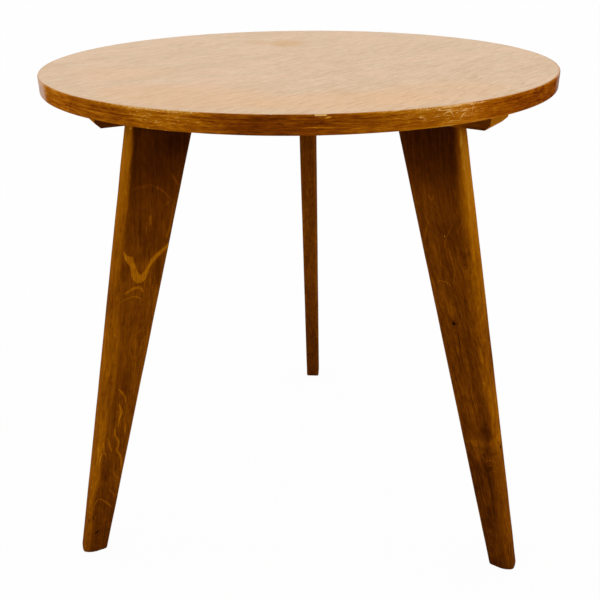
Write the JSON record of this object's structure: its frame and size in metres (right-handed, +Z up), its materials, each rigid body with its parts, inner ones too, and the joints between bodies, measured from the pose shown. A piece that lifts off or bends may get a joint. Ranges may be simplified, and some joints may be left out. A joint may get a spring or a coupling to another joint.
{
  "type": "tripod side table",
  "caption": "Round veneered top with a banded edge on a Y of three rails, standing on flat tapered legs that splay outwards.",
  "frame": {"origin": "on the floor, at the middle of the box round the whole table; the top's own centre is 18.75 mm towards -Y", "axes": "+Z up, out of the table top; the rear leg points to +Y, the other two to -X and +X, a little towards -Y"},
  "size_m": [0.5999, 0.6371, 0.6274],
  "materials": {
    "top_veneer": "satin varnished light oak veneer",
    "underside_veneer": "bare balancing veneer",
    "panel_core": "raw board",
    "edge_band": "satin stained oak",
    "rail_wood": "satin stained oak",
    "leg_wood": "satin stained oak",
    "dowel_wood": "raw beech",
    "screw_steel": "plain steel"
  },
  "bodies": {
    "root": {"top_core": "panel_core", "top_veneer": "top_veneer", "underside_veneer": "underside_veneer", "edge_band": "edge_band", "rail_rear": "rail_wood", "rail_left": "rail_wood", "rail_right": "rail_wood", "leg_rear": "leg_wood", "leg_left": "leg_wood", "leg_right": "leg_wood", "leg_screw_rear": "screw_steel", "leg_screw_left": "screw_steel", "leg_screw_right": "screw_steel", "dowels_rear": "dowel_wood", "dowels_left": "dowel_wood", "dowels_right": "dowel_wood", "rail_screws_rear": "screw_steel", "rail_screws_left": "screw_steel", "rail_screws_right": "screw_steel"}
  },
  "joints": []
}
